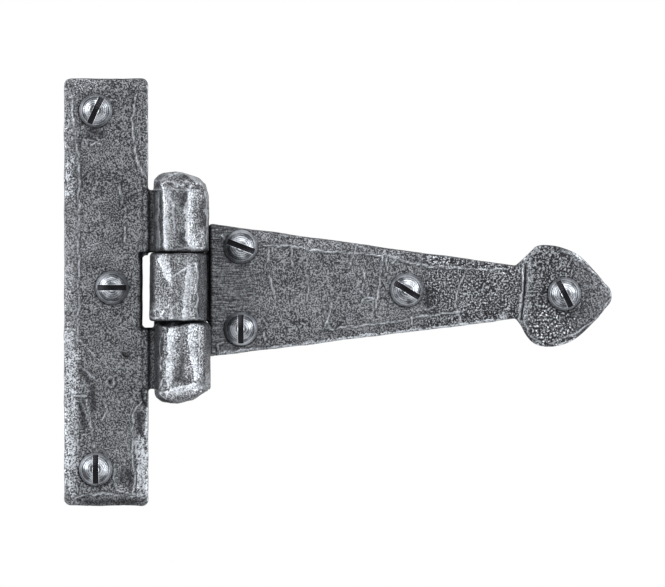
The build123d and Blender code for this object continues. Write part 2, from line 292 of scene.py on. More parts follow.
    # Where the hammer doesn't reach
    behind_axis = maths(tree, "SUBTRACT", at[1], given["Axis Y"])
    from_axis = combined(tree, at[0], behind_axis, 0.0)
    from_axis = vector_maths(tree, "LENGTH", from_axis)
    upright = maths(tree, "ABSOLUTE", facing[2])
    bore_end = maths(tree, "ADD", given["Bore Radius"], 0.12)
    past_bore = maths(tree, "ADD", bore_end, 0.4)
    in_bore = maths(
        tree,
        "MULTIPLY",
        ramp_between(tree, from_axis, bore_end, past_bore, 1.0, 0.0),
        ramp_between(tree, upright, 0.3, 0.7, 1.0, 0.0),
    )
    on_end = maths(
        tree,
        "MULTIPLY",
        ramp_between(tree, from_axis, 7.3, 7.9, 1.0, 0.0),
        ramp_between(tree, upright, 0.55, 0.85),
    )
    on_end = maths(tree, "MULTIPLY", on_end, given["Hold Ends"])
    on_back = ramp_between(tree, facing[1], 0.35, 0.7)
    root_end = given["Hold Up To X"]
    past_root = maths(tree, "ADD", root_end, 0.8)
    on_root = maths(
        tree,
        "MULTIPLY",
        ramp_between(tree, at[0], root_end, past_root, 1.0, 0.0),
        ramp_between(tree, at[1], -3.9, -3.3),
    )
    held = highest(tree, in_bore, on_end, on_back, on_root)
    depth = maths(tree, "MULTIPLY", depth, maths(tree, "SUBTRACT", 1.0, held))
    stretch = maths(tree, "MULTIPLY", on_end, given["End Stretch"])
    inward = maths(tree, "MULTIPLY", facing[2], maths(tree, "SIGN", at[2]))
    base = ramp_between(tree, inward, -0.85, -0.35, 1.0, 0.0)
    stretch = maths(tree, "MULTIPLY_ADD", base, given["Base Stretch"], stretch)
    depth = maths(tree, "SUBTRACT", depth, stretch)
    push = vector_maths(tree, "SCALE", normal, maths(tree, "MULTIPLY", depth, -mm))
    level = add_node(
        tree,
        "GeometryNodeSetPosition",
        {"Geometry": given["Geometry"], "Offset": push},
    ).outputs[0]

    # How far each point stands out of its surroundings, in mm: the finish is
    # rubbed off where it does and gathers where it lies low. Shade is painted on
    # bevels that slant up or down, most of all on those that look up.
    stands = {}
    for name, rounds in (("wear", 3), ("hollow", 14)):
        around = add_node(
            tree,
            "GeometryNodeBlurAttribute",
            {"Value": place, "Iterations": rounds},
            data_type="FLOAT_VECTOR",
        )
        out = vector_maths(tree, "SUBTRACT", place, around.outputs[0])
        out = vector_maths(tree, "DOT_PRODUCT", out, normal)
        stands[name] = maths(tree, "MULTIPLY", out, 1000.0)
    stands |= {name.lower(): mark for name, mark in marks.items()}
    slanted = ramp_between(tree, upright, 0.12, 0.3)
    upward = ramp_between(tree, facing[2], -0.1, 0.1, 0.55, 1.0)
    slanted = maths(tree, "MULTIPLY", slanted, upward)
    stands["slanted"] = maths(tree, "MULTIPLY", slanted, front)
    for name, value in stands.items():
        level = store(tree, level, name, value)
    smooth = add_node(tree, "GeometryNodeSetShadeSmooth", {"Geometry": level})
    hand_out(tree, smooth.outputs[0], given["Steel"])
    return tree


# Marks are chains of points (X, Z) in mm, as they lie seen from the front
def mark_lines(name, chains):
    points, edges = [], []
    for chain in chains:
        first = len(points)
        points += [(x * mm, 0.0, z * mm) for x, z in chain]
        edges += [(first + i, first + i + 1) for i in range(len(chain) - 1)]
    mesh = bpy.data.meshes.new(name)
    mesh.from_pydata(points, edges, [])
    return add_object(name, mesh)


def ring(x, z, wide, tall, sides=12):
    turns = [2 * math.pi * i / sides for i in range(sides + 1)]
    return [(x + wide * math.cos(t), z + tall * math.sin(t)) for t in turns]


# Painted shadow: the dark line round a screw's head
def head_shadow_line(x, z, radius=3.8):
    return ring(x, z, radius, radius, 24)


glint_colour = (0.86, 0.89, 0.93, 1.0)
# Near black, painted as shadow in the gaps between parts and round screws' heads
gap_shadow_colour = (0.002, 0.002, 0.003, 1.0)


# Patinated steel: a dark finish, black in the pits and pale where it is rubbed, with
# painted highlights and shade. smooth_to is the X, in mm, up to which the file has
# taken the grain off, and rough_from the X from which the scale has pitted it deeply.
# A highlight is painted on a leaf's outer bevel up to the X that ends it, and the leaf
# is darker higher up.
def forged_steel(
    name, dark, middle, pale, bright, smooth_to=None, rough_from=None, highlight_to=None
):
    steel, tree, shader = new_material(name)
    place = add_node(tree, "ShaderNodeTexCoord").outputs["Object"]
    spot = vector_maths(tree, "SCALE", place, 1000.0)
    x, y, z = axes_of(tree, spot)

    def noise(size_mm, detail, distortion=0.0):
        inputs = {
            "Vector": spot,
            "Scale": 1.0 / size_mm,
            "Detail": detail,
            "Distortion": distortion,
            "Roughness": 0.6,
        }
        return add_node(tree, "ShaderNodeTexNoise", inputs).outputs["Fac"]

    # Thin lines, where a noise passes its middle
    def veins(pattern, width):
        from_middle = maths(tree, "ABSOLUTE", maths(tree, "SUBTRACT", pattern, 0.5))
        return ramp_between(tree, from_middle, 0.0, width, 1.0, 0.0)

    def stored(attribute):
        made = add_node(tree, "ShaderNodeAttribute", attribute_name=attribute)
        return made.outputs["Fac"]

    # Knuckles stand out past the leaf's front face
    knuckle = ramp_between(tree, y, -5.0, -3.4, 1.0, 0.0)
    on_leaf = ramp_between(tree, knuckle, 0.0, 0.857, 1.0, 0.0)

    def by_place(leaf_value, knuckle_value):
        return ramp_between(tree, knuckle, 0.0, 1.0, leaf_value, knuckle_value)

    # Scale pits the metal up to the neck, and again in a patch low on the head,
    # where its edges glint
    grain = noise(0.33, 1.5)
    specks = ramp_between(tree, grain, 0.38, 0.63)
    sparks = glints = 0.0
    if rough_from is not None:
        patch = (rough_from + 32.5, -3.0, -8.5)
        neck_from, neck_to = rough_from + 24.0, rough_from + 28.0
        calmer_from, calmer_to = rough_from + 34.0, rough_from + 41.0
        sore = vector_maths(tree, "DISTANCE", spot, patch)
        sore = ramp_between(tree, sore, 4.0, 8.5, 1.0, 0.0)
        coarse = mix_numbers(tree, sore, noise(0.4, 1.0), noise(0.52, 1.0))
        deep = ramp_between(tree, coarse, 0.38, 0.62, -0.45, 0.98)
        pitted = ramp_between(tree, x, rough_from, rough_from + 5.0)
        calmer = ramp_between(tree, x, calmer_from, calmer_to, 1.0, 0.3)
        pitted = maths(tree, "MULTIPLY", pitted, calmer)
        specks = mix_numbers(tree, pitted, specks, deep)
        glints = maths(tree, "MULTIPLY", ramp_between(tree, coarse, 0.62, 0.7), sore)
        up_to_neck = ramp_between(tree, x, neck_from, neck_to, 1.0, 0.0)
        sharp = ramp_between(tree, sore, 0.0, 1.0, 0.45, 1.25)
        sharp = maths(tree, "MULTIPLY", highest(tree, sharp, up_to_neck), pitted)
        sparks = ramp_between(tree, coarse, 0.61, 0.72, 0.0, 0.8)
        sparks = maths(tree, "MULTIPLY", sparks, sharp)
    flattened = maths(tree, "MULTIPLY", knuckle, 0.14)
    specks = mix_numbers(tree, flattened, specks, 0.5)
    threads = veins(noise(0.62, 1.0), 0.07)
    patches = ramp_between(tree, noise(5.0, 3.0), 0.3, 0.72)
    worms = veins(noise(1.9, 2.0, 0.8), 0.022)
    some_worms = ramp_between(tree, noise(4.5, 1.0), 0.5, 0.62)
    worms = maths(tree, "MULTIPLY", worms, some_worms)
    tone = maths(tree, "MULTIPLY", specks, 0.72)
    shares = ((threads, 0.2), (patches, 0.16), (worms, 0.3), (knuckle, 0.042))
    for pattern, share in shares:
        tone = maths(tree, "MULTIPLY_ADD", pattern, share, tone)

    # Painted highlight on a leaf's outer bevel, and the leaf darker higher up
    lit_bevel = 0.0
    if highlight_to is not None:
        lit_bevel = ramp_between(tree, x, highlight_to - 0.5, highlight_to + 0.3, 1.0, 0.0)
        darker = ramp_between(tree, z, 10.0, 32.0, 0.0, -0.07)
        tone = maths(tree, "MULTIPLY_ADD", lit_bevel, 0.17, tone)
        tone = maths(tree, "ADD", tone, darker)

    if smooth_to is not None:
        root = ramp_between(tree, x, smooth_to, smooth_to + 8.0, 1.0, 0.0)
        root = maths(tree, "MULTIPLY", root, ramp_between(tree, x, 6.8, 7.1))
        stroked = vector_maths(tree, "MULTIPLY", spot, (0.3, 1.0, 3.2))
        inputs = {"Vector": stroked, "Scale": 1.0, "Detail": 2.0}
        strokes = add_node(tree, "ShaderNodeTexNoise", inputs).outputs["Fac"]
        plain = ramp_between(tree, strokes, 0.3, 0.7, 0.06, 0.46)
        plain = maths(tree, "MULTIPLY_ADD", specks, 0.36, plain)
        tone = mix_numbers(tree, root, tone, plain)
    colour = colour_ramp(tree, tone, [(0.06, dark), (0.42, middle), (0.92, pale)])

    # Bright: standing edges, ridge marks, rubbed marks and the scale's sparks. Rubbed
    # marks and the ridge marks along outlines are partly painted highlights.
    broken = ramp_between(tree, noise(0.7, 2.0), 0.34, 0.6, 0.25, 1.0)
    edge = ramp_between(tree, stored("wear"), 0.03, 0.13, 0.0, 0.6)
    line = maths(tree, "MULTIPLY", stored("ridge"), by_place(0.74, 0.75))
    edge = maths(tree, "MULTIPLY", highest(tree, edge, line), broken)
    spread = maths(tree, "MULTIPLY_ADD", grain, 1.5, -1.3)
    spread = maths(tree, "MULTIPLY_ADD", noise(1.3, 2.0), 0.9, spread)
    livelier = maths(tree, "MULTIPLY_ADD", lit_bevel, 0.9, by_place(1.0, 0.75))
    mottle_and_highlight = maths(tree, "MULTIPLY_ADD", spread, livelier, stored("rubbed"))
    mottle_and_highlight = ramp_between(tree, mottle_and_highlight, 0.2, 1.05, 0.0, by_place(0.88, 0.74))
    rubbed = highest(tree, edge, mottle_and_highlight, sparks)
    colour = mix_colours(tree, rubbed, colour, (*bright, 1.0))
    colour = mix_colours(tree, glints, colour, glint_colour)

    # Dark: hollows, cuts, grime marks that are partly painted shade, painted shade
    # beside ridges and on a leaf's slanted bevels, and flecks of finish left where a
    # leaf is rubbed or has a painted highlight
    shaded = maths(tree, "MULTIPLY", stored("slanted"), on_leaf)
    shaded = maths(tree, "SUBTRACT", shaded, stored("rubbed"), clamp=True)
    flecks = ramp_between(tree, noise(0.42, 1.0), 0.35, 0.44, 0.8, 0.0)
    worn_or_lit = maths(tree, "MULTIPLY", stored("rubbed"), 2.0, clamp=True)
    worn_or_lit = maths(tree, "MULTIPLY", highest(tree, worn_or_lit, lit_bevel), on_leaf)
    low = ramp_between(tree, stored("hollow"), -0.2, -0.03, 0.7, 0.0)
    for mark, share in (
        (stored("cut"), 0.8),
        (stored("grime"), 0.8),
        (stored("border"), by_place(0.72, 0.25)),
        (shaded, 0.54),
        (flecks, worn_or_lit),
    ):
        low = highest(tree, low, maths(tree, "MULTIPLY", mark, share))
    # Gaps between parts and the lines round the screws' heads are painted near black as
    # shadow
    gap = stored("gap")
    colour = mix_colours(tree, low, colour, (*dark, 1.0))
    colour = mix_colours(tree, gap, colour, gap_shadow_colour)

    height = maths(tree, "MULTIPLY", grain, 0.7)
    height = maths(tree, "MULTIPLY_ADD", noise(0.95, 2.0), 0.8, height)
    inputs = {"Strength": 0.6, "Distance": 0.00016, "Height": height}
    surface = {
        "Base Color": colour,
        "Metallic": ramp_between(tree, gap, 0.0, 1.0, 0.8, 1.0),
        "Roughness": ramp_between(tree, tone, 0.0, 1.0, 0.6, 0.38),
        "Normal": add_node(tree, "ShaderNodeBump", inputs).outputs[0],
    }
    set_sockets(tree, shader, surface)
    return steel


weld_reach = 1e-7


# The hammered surface is cut into a copy of the frame's own solid, in cells of
# cell_mm. marks gives the chains of each kind of mark.
def hammer(node, cell_mm, values, marks):
    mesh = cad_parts[node].data.copy()
    welded = bmesh.new()
    welded.from_mesh(mesh)
    bmesh.ops.remove_doubles(welded, verts=welded.verts, dist=weld_reach)
    welded.to_mesh(mesh)
    welded.free()
    rough = add_object(node + "_rough", mesh)
    even = rough.modifiers.new("even skin", "REMESH")
    even.mode = "VOXEL"
    even.voxel_size = cell_mm * mm
    even.adaptivity = 0.0
    work = rough.modifiers.new("hammer work", "NODES")
    work.node_group = hammered_surface
    lines = {kind + " Marks": mark_lines(kind, marks[kind]) for kind in marks}
    set_inputs(work, values | lines)
    done = finished_mesh(rough)
    for used in (rough, *lines.values()):
        bpy.data.objects.remove(used)
    return add_object(node + "_forged", done)


hammered_surface = hammer_tree()
leaf_finish = {
    "dark": (0.010, 0.010, 0.012),
    "middle": (0.058, 0.06, 0.066),
    "pale": (0.235, 0.245, 0.26),
    "bright": (0.5, 0.53, 0.57),
}
plate_steel = forged_steel("dark hammered steel", **leaf_finish, highlight_to=-24.0)
plate_marks = {
    # Ridges: raised and rubbed bright; those along the outlines are painted highlights
    "Ridge": [
        [(-10.5, 46.4), (-11.4, 40.5), (-10.9, 34.6), (-10.5, 31.1), (-8.1, 26.8)],
        [(-25.6, 45.2), (-24.6, 35.8), (-23.9, 29.9), (-23.9, 0.5), (-24.2, -12.5)],
        [(-24.4, -10.8), (-21.8, -13.6), (-19.9, -15.3)],
        [(-24.1, -17.2), (-20.1, -20.2)],
        [(-24.8, -24.5), (-21.8, -24.5)],
        [(-22.0, -25.4), (-20.1, -36.5)],
        [(-24.8, -30.1), (-24.4, -34.8), (-24.0, -38.4)],
        [(-24.8, -48.7), (-22.5, -48.0), (-17.8, -47.5), (-10.7, -48.2)],
        [(-8.4, -25.0), (-9.6, -26.4), (-11.0, -28.5), (-11.3, -32.0), (-11.1, -40.7)],
        [(-11.1, -40.7), (-10.6, -43.5), (-11.3, -47.3), (-9.4, -48.6)],
        [(-23.4, -24.5), (-22.4, -29.0), (-20.6, -32.6)],
        [(-18.0, -25.0), (-17.4, -28.0), (-18.6, -30.4)],
        [(-14.3, 24.6), (-13.7, 20.8)],
        [(-13.2, 15.2), (-13.0, 11.6)],
        [(-21.4, 34.6), (-20.0, 35.4), (-18.6, 34.8)],
        [(-15.4, -40.2), (-15.9, -43.8), (-14.7, -46.6), (-11.9, -47.3)],
        ring(-9.0, -47.6, 0.9, 1.0),
        ring(-16.5, -21.2, 0.75, 1.15),
        [(-5.0, 23.0), (-5.2, 16.0), (-4.9, 10.5)],
        [(-4.1, -9.6), (-4.8, -13.6), (-4.6, -18.4)],
        [(-3.4, 9.9), (1.0, 9.9), (6.2, 10.3)],
        [(5.7, 23.8), (6.3, 22.0), (6.4, 11.5)],
        [(-5.4, 23.5), (-5.5, 17.0), (-5.3, 10.5)],
        [(-2.6, 23.0), (-1.2, 20.5), (-1.4, 14.0)],
        [(4.6, -7.8), (4.7, -19.0)],
        [(-4.1, -20.7), (-4.9, -23.0)],
    ],
    "Cut": [
        [(-8.9, -16.0), (-8.8, -26.4)],
        [(-8.1, -24.0), (-8.1, -27.0)],
        [(-24.6, -33.6), (-22.2, -33.3)],
        [(-14.0, -14.1), (-11.9, -15.5)],
        [(-20.4, -22.0), (-19.9, -27.6)],
        [(-4.0, -9.0), (-4.4, -14.0), (-4.3, -20.5)],
        [(-4.7, 22.5), (-4.6, 11.0)],
        [(-8.8, 24.0), (-8.8, 9.5)],
        [(-8.7, 24.1), (-5.4, 24.0)],
        [(-2.0, 24.1), (-0.6, 24.2)],
        [(-8.5, -22.8), (-5.2, -22.8)],
        [(-8.8, -8.0), (-8.8, -23.0)],
        [(-13.6, -41.8), (-13.0, -45.2)],
    ],
    # Rubbed: worn edges and painted highlights
    "Rubbed": [
        [(-3.65, 24.0), (-3.7, 17.0), (-3.6, 9.9)],
        [(2.3, 24.0), (1.2, 19.3), (1.7, 12.2), (2.6, 10.3)],
        [(-2.0, -8.5), (-2.8, -12.5), (-3.1, -17.2), (-2.7, -22.6)],
        [(2.2, -8.2), (2.1, -12.5), (2.7, -16.5), (3.6, -19.8)],
        [(-2.5, -22.9), (2.0, -22.0), (5.8, -21.0)],
        [(-26.7, 30.0), (-26.8, 23.0)],
        [(-26.9, -9.0), (-27.0, -25.0), (-26.9, -45.0)],
        [(-25.8, -13.0), (-25.6, -24.0), (-25.8, -34.0), (-25.5, -41.0)],
        [(-26.4, -10.0), (-26.2, -20.0), (-26.5, -31.0), (-26.2, -47.0)],
        [(-7.9, -27.0), (-8.3, -34.0)],
        [(-11.0, -35.2), (-10.3, -37.6), (-9.7, -41.4), (-10.2, -46.6)],
        [(-8.9, -36.0), (-8.6, -41.0), (-8.8, -46.5)],
        [(-9.9, -34.5), (-9.5, -42.0), (-9.7, -47.2)],
        [(-9.2, -35.0), (-9.0, -41.0), (-8.4, -46.8)],
        [(-8.0, -34.0), (-8.0, -47.5)],
    ],
    # Grime marks: partly grime, partly painted shade
    "Grime": [
        [(-7.2, 24.0), (-7.2, 9.5)],
        [(-7.2, -7.5), (-7.2, -23.0)],
        [(-5.8, 24.0), (-5.8, 9.5)],
        [(-5.6, -7.5), (-5.6, -23.0)],
        [(-9.3, 8.5), (-9.3, -8.3)],
        [(-9.3, 8.9), (-7.6, 9.2)],
        [(-6.0, -7.1), (6.5, -7.1)],
        [(-7.0, 9.5), (7.0, 9.5)],
        [(0.9, 22.4), (0.7, 20.6)],
        [(0.5, 13.6), (0.7, 11.4)],
        [(0.5, -15.5), (0.0, -20.5)],
        [(-0.7, -18.4), (-0.9, -20.6), (1.8, -20.7)],
        [(4.6, -21.6), (5.4, -21.3)],
        [(5.2, 21.0), (5.3, 16.0)],
        [(-13.6, -42.4), (-13.9, -44.6)],
        [(-12.2, -41.9), (-12.0, -45.6)],
        [(-20.6, -22.5), (-20.4, -27.5)],
        [(-23.4, -26.8), (-22.9, -31.8)],
        [(-23.2, -18.6), (-21.6, -20.6)],
        [(-9.7, -28.5), (-9.5, -33.0)],
        [(-22.4, -49.4), (-10.4, -49.4)],
        [(-21.5, 37.6), (-18.6, 37.2)],
    ],
    # Painted shadow in the gaps between parts and round the screws' heads
    "Gap": [
        [(-9.15, 9.2), (-9.25, 0.0), (-9.15, -8.6)],
        [(-9.7, 9.0), (-9.5, 7.6)],
        [(-9.6, 9.2), (-7.4, 9.4)],
        [(-9.1, -8.6), (-6.2, -8.8)],
        [(-7.5, 9.3), (6.6, 9.3)],
        [(-5.8, -7.3), (-1.5, -7.7), (2.5, -7.2), (6.8, -6.9)],
        [(-4.6, -7.7), (-2.0, -8.1), (0.8, -7.6)],
        [(-9.2, -22.8), (-9.0, -25.0), (-8.3, -26.4)],
        [(-16.6, -20.9), (-16.5, -21.5)],
        [(-13.6, -14.5), (-12.9, -15.2), (-12.3, -15.1)],
        head_shadow_line(-20.0, 42.6),
        head_shadow_line(-16.2, 0.9),
        head_shadow_line(-20.0, -41.8),
    ],
}
plate = hammer(
    "tee_plate",
    0.3,
    {
        "Seed": 3.0,
        "Blow Size": 6.5,
        "Blow Depth": 0.3,
        "Pit Size": 1.3,
        "Pit Depth": 0.07,
        "Steel": plate_steel,
    },
    plate_marks,
)
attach(plate, "tee_plate")
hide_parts("tee_plate")


# Strap: the long leaf that is screwed to the door or gate, drawn down to a neck
# and spread into an arrowhead. Its root, next to the pin, was filed smooth, and
# its one knuckle turns between the plate's two.
strap_steel = forged_steel(
    "dark hammered steel, filed root", **leaf_finish, smooth_to=14.0, rough_from=55.0
)
strap_marks = {
    # Ridges: raised and rubbed bright; those along the outlines are painted highlights
    "Ridge": [
        [
            (19.2, 11.1),
            (25.8, 10.8),
            (35.2, 9.4),
            (49.3, 8.5),
            (57.5, 6.1),
            (76.4, 5.2),
        ],
        [(35.2, -8.9), (39.9, -8.0), (50.5, -7.1), (55.2, -5.9), (65.8, -4.7)],
        [(26.2, 10.4), (26.3, 6.0)],
        [(41.5, 11.3), (40.6, 8.0), (39.2, 5.2)],
        [(48.1, 9.4), (48.8, 5.2)],
        [(34.0, -4.7), (35.2, -8.9)],
        [(42.2, 0.0), (43.5, -0.9), (45.1, -1.4)],
        [(42.7, 5.6), (44.6, -0.2), (42.9, -1.9), (45.6, -1.7)],
        [(47.4, 8.5), (47.1, 3.8), (46.2, -1.4), (46.0, -3.8)],
        [(49.5, 8.9), (50.6, 7.6), (49.9, 6.8)],
        [(35.2, -1.4), (35.2, -5.2), (33.8, -8.5)],
        [(54.5, -5.2), (54.3, -7.6)],
        [(56.2, -3.2), (58.2, -4.3), (59.8, -3.6)],
        [(29.4, 4.2), (30.2, 0.8), (29.6, -2.6)],
        [(20.9, 4.0), (22.3, -1.2)],
        [(20.8, 9.9), (20.8, 7.1)],
        [(19.2, -7.8), (20.1, -11.3)],
        [(9.8, 13.4), (12.1, 11.1)],
        [(10.4, -11.8), (9.0, -12.4), (9.0, -14.0), (10.2, -14.4)],
        [(66.9, 4.0), (65.2, 0.5), (64.8, -3.1), (65.8, -6.6)],
        [(80.6, -6.6), (82.2, -10.1), (84.6, -12.0)],
        ring(-6.0, -5.3, 1.3, 1.1),
        [(9.5, -14.2), (20.0, -13.2), (30.5, -12.1)],
        [(-4.6, -6.4), (-4.1, -4.7), (-2.4, -3.1)],
        [(-2.4, -6.3), (-2.0, -4.2), (-0.4, -2.6)],
        [(-2.8, 2.6), (-1.0, 4.0), (3.6, 7.0)],
        [(4.1, 7.0), (4.1, -6.0)],
        [(-2.3, -6.3), (5.6, -6.3)],
        [(2.4, 4.0), (2.5, -6.0)],
        [(80.7, 6.6), (80.4, 0.0), (79.7, -6.6)],
        [(101.1, -1.5), (99.1, -5.1), (95.7, -8.1), (91.9, -10.4), (87.0, -12.0)],
        [(89.5, 10.3), (94.5, 7.0), (98.3, 3.8), (101.0, 0.6)],
    ],
    "Cut": [
        [(35.2, -1.0), (36.0, -1.4)],
        [(7.9, 15.0), (8.1, 12.6)],
        [(8.9, 15.2), (9.0, 13.4)],
        [(9.8, 15.0), (9.7, 13.9)],
        [(8.3, -14.9), (8.5, -12.2)],
        [(81.4, 6.6), (81.1, 0.0), (80.4, -6.8)],
    ],
    # Rubbed: worn edges and painted highlights
    "Rubbed": [
        [(-5.1, 7.8), (-4.1, 5.6), (-2.8, 2.6)],
        [(0.8, -6.3), (1.0, -1.9), (1.3, 1.6), (1.5, 5.2)],
        [(8.5, -14.5), (23.0, -12.8), (37.5, -10.95), (54.5, -9.0), (75.2, -6.4)],
        [(80.7, 6.2), (80.4, 0.0), (79.6, -6.4)],
        [(101.3, -2.2), (99.4, -5.8), (96.1, -9.0), (92.3, -11.5), (88.2, -12.8)],
        [(90.3, 10.8), (95.2, 7.4), (99.0, 4.1), (101.2, 1.2)],
    ],
    # Grime marks: partly grime, partly painted shade
    "Grime": [
        [(-6.6, 8.0), (-6.4, -2.0)],
        [(6.7, 8.0), (6.7, -6.0)],
        [(-7.0, 9.4), (7.0, 9.4)],
        [(-7.0, -7.2), (7.0, -7.2)],
        [(58.2, 0.6), (58.6, -3.6)],
    ],
    # Painted shadow in the gaps between parts and round the screws' heads
    "Gap": [
        [(6.8, 15.6), (6.8, 9.0), (6.7, 0.0), (6.9, -7.0), (6.9, -14.6)],
        [(7.1, 15.4), (7.1, -14.4)],
        [(81.3, 6.4), (81.0, 0.0), (80.2, -6.4)],
        [(-6.8, 9.3), (6.4, 9.3)],
        [(-6.8, -7.0), (6.4, -7.0)],
        head_shadow_line(14.15, 10.6),
        head_shadow_line(14.15, -8.8),
        head_shadow_line(53.2, 0.35),
        head_shadow_line(90.3, -0.55),
    ],
}
strap = hammer(
    "strap",
    0.3,
    {
        "Seed": 8.0,
        "Blow Size": 7.0,
        "Blow Depth": 0.28,
        "Pit Size": 1.4,
        "Pit Depth": 0.06,
        "Hold Up To X": 7.2,
        "Steel": strap_steel,
    },
    strap_marks,
)
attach(strap, "strap")
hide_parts("strap")


# Hinge pin: a round bar through all three knuckles, each end hammered over cold
# into a faceted dome. It stays with the tee plate, and the strap turns on it.
pin_steel = forged_steel(
    "dark hammered steel, riveted",
    dark=(0.012, 0.012, 0.014),
    middle=(0.09, 0.093, 0.1),
    pale=(0.3, 0.31, 0.33),
    bright=(0.52, 0.55, 0.59),
)
pin_marks = {
    # Ridges: raised and rubbed bright; those along the outlines are painted highlights
    "Ridge": [
        ring(-2.4, 24.9, 1.7, 0.8),
        [(-3.6, 27.4), (0.0, 28.0), (3.4, 26.8), (5.2, 25.4), (5.8, 24.2)],
        [(-1.6, 25.6), (0.4, 25.0), (2.2, 25.6)],
        [(-5.0, 26.0), (-3.0, 26.6), (-1.5, 27.6)],
        [(-5.9, 26.2), (-4.2, 25.0), (-3.7, 24.0)],
        [(-4.1, -22.9), (-4.9, -23.8), (-3.4, -25.0), (-2.9, -23.9), (-4.1, -22.9)],
    ],
    "Cut": [
        [(-1.2, 24.4), (1.0, 24.1)],
        [(2.8, 24.3), (6.2, 24.0)],
        [(-5.2, -22.9), (-2.6, -23.2)],
        [(3.6, -23.3), (6.4, -22.9)],
    ],
    # Rubbed: worn edges and painted highlights
    "Rubbed": [
        [(1.2, 25.6), (2.6, 24.4)],
        [(-4.6, 26.0), (-3.4, 26.8)],
        [(2.7, 26.7), (4.0, 25.8)],
        [(-1.2, 27.7), (0.4, 27.8)],
        [(-2.5, -23.4), (2.0, -22.9), (5.8, -22.9)],
    ],
    # Grime marks: partly grime, partly painted shade
    "Grime": [
        [(-5.6, 24.9), (-5.0, 25.4)],
        [(-2.7, 25.2), (-1.8, 25.3)],
        [(0.9, 27.1), (2.0, 26.9)],
        [(1.3, 25.4), (2.2, 25.1)],
        [(4.4, 25.2), (5.2, 24.7)],
        [(-4.5, -25.2), (-1.5, -26.2)],
        [(2.6, -24.2), (4.6, -23.8)],
    ],
}
pin = hammer(
    "hinge_pin",
    0.22,
    {
        "Seed": 5.0,
        "Blow Size": 3.0,
        "Blow Depth": 0.25,
        "Pit Size": 1.3,
        "Pit Depth": 0.06,
        "Hold Ends": 0.0,
        "Base Stretch": 0.25,
        "Rubbed Fade": 1.8,
        "Grime Width": 0.8,
        "Steel": pin_steel,
    },
    pin_marks,
)
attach(pin, "tee_plate")
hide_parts("hinge_pin")


# Wood screws: slotted round heads, turned bright, with a plain shank, a rolled
# thread and a gimlet point. Three hold the plate and four hold the strap.
head_height = 2.9
slot_width = 1.3
slot_depth = 1.4


